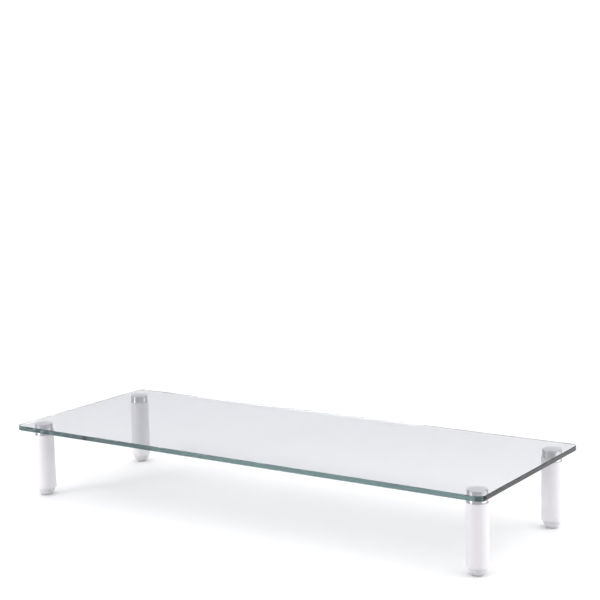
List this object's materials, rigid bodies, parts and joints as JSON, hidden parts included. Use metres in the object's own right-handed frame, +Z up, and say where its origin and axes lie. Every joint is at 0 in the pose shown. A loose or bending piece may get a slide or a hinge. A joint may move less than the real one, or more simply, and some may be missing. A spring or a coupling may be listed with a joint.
{
  "type": "monitor riser stand",
  "caption": "Low desk riser: a rectangular clear glass shelf with round corners on round white pillar legs, with polished bosses under the glass and screw-in dome feet.",
  "frame": {"origin": "centre of the footprint, on the surface that the feet stand on, with every foot screwed fully in", "axes": "+X along the shelf, +Y towards its back edge, +Z up"},
  "size_m": [0.56, 0.21, 0.0805],
  "materials": {
    "tempered_glass": "polished",
    "clear_adhesive": "clear",
    "polished_metal": "polished",
    "steel": "zinc plated",
    "brass": "turned",
    "white_plastic": "semi-gloss",
    "plug_plastic": "matt",
    "soft_foot": "translucent satin"
  },
  "bodies": {
    "stand": {"glass_shelf": "tempered_glass", "adhesive_film_front_left": "clear_adhesive", "mount_boss_front_left": "polished_metal", "leg_stud_front_left": "steel", "head_insert_front_left": "brass", "leg_tube_front_left": "white_plastic", "leg_end_plug_front_left": "plug_plastic", "foot_insert_front_left": "brass", "adhesive_film_front_right": "clear_adhesive", "mount_boss_front_right": "polished_metal", "leg_stud_front_right": "steel", "head_insert_front_right": "brass", "leg_tube_front_right": "white_plastic", "leg_end_plug_front_right": "plug_plastic", "foot_insert_front_right": "brass", "adhesive_film_back_left": "clear_adhesive", "mount_boss_back_left": "polished_metal", "leg_stud_back_left": "steel", "head_insert_back_left": "brass", "leg_tube_back_left": "white_plastic", "leg_end_plug_back_left": "plug_plastic", "foot_insert_back_left": "brass", "adhesive_film_back_right": "clear_adhesive", "mount_boss_back_right": "polished_metal", "leg_stud_back_right": "steel", "head_insert_back_right": "brass", "leg_tube_back_right": "white_plastic", "leg_end_plug_back_right": "plug_plastic", "foot_insert_back_right": "brass"},
    "stem_front_left": {"foot_stem_front_left": "steel"},
    "foot_front_left": {"foot_dome_front_left": "soft_foot"},
    "stem_front_right": {"foot_stem_front_right": "steel"},
    "foot_front_right": {"foot_dome_front_right": "soft_foot"},
    "stem_back_left": {"foot_stem_back_left": "steel"},
    "foot_back_left": {"foot_dome_back_left": "soft_foot"},
    "stem_back_right": {"foot_stem_back_right": "steel"},
    "foot_back_right": {"foot_dome_back_right": "soft_foot"}
  },
  "joints": [
    {"name": "foot_front_left_travel", "type": "slide", "parent": "stand", "child": "stem_front_left", "axis": [0, 0, -1], "range_m": [0, 0.006]},
    {"name": "foot_front_left_turn", "type": "hinge", "parent": "stem_front_left", "child": "foot_front_left", "pos_m": [-0.2625, -0.08, 0], "axis": [0, 0, -1], "range_deg": [0, 2160]},
    {"name": "foot_front_right_travel", "type": "slide", "parent": "stand", "child": "stem_front_right", "axis": [0, 0, -1], "range_m": [0, 0.006]},
    {"name": "foot_front_right_turn", "type": "hinge", "parent": "stem_front_right", "child": "foot_front_right", "pos_m": [0.2625, -0.08, 0], "axis": [0, 0, -1], "range_deg": [0, 2160]},
    {"name": "foot_back_left_travel", "type": "slide", "parent": "stand", "child": "stem_back_left", "axis": [0, 0, -1], "range_m": [0, 0.006]},
    {"name": "foot_back_left_turn", "type": "hinge", "parent": "stem_back_left", "child": "foot_back_left", "pos_m": [-0.2625, 0.08, 0], "axis": [0, 0, -1], "range_deg": [0, 2160]},
    {"name": "foot_back_right_travel", "type": "slide", "parent": "stand", "child": "stem_back_right", "axis": [0, 0, -1], "range_m": [0, 0.006]},
    {"name": "foot_back_right_turn", "type": "hinge", "parent": "stem_back_right", "child": "foot_back_right", "pos_m": [0.2625, 0.08, 0], "axis": [0, 0, -1], "range_deg": [0, 2160]}
  ],
  "couplings": [
    {"joint": "foot_front_left_turn", "follows": "foot_front_left_travel", "rad_per_m": 6283.2},
    {"joint": "foot_front_right_turn", "follows": "foot_front_right_travel", "rad_per_m": 6283.2},
    {"joint": "foot_back_left_turn", "follows": "foot_back_left_travel", "rad_per_m": 6283.2},
    {"joint": "foot_back_right_turn", "follows": "foot_back_right_travel", "rad_per_m": 6283.2}
  ]
}
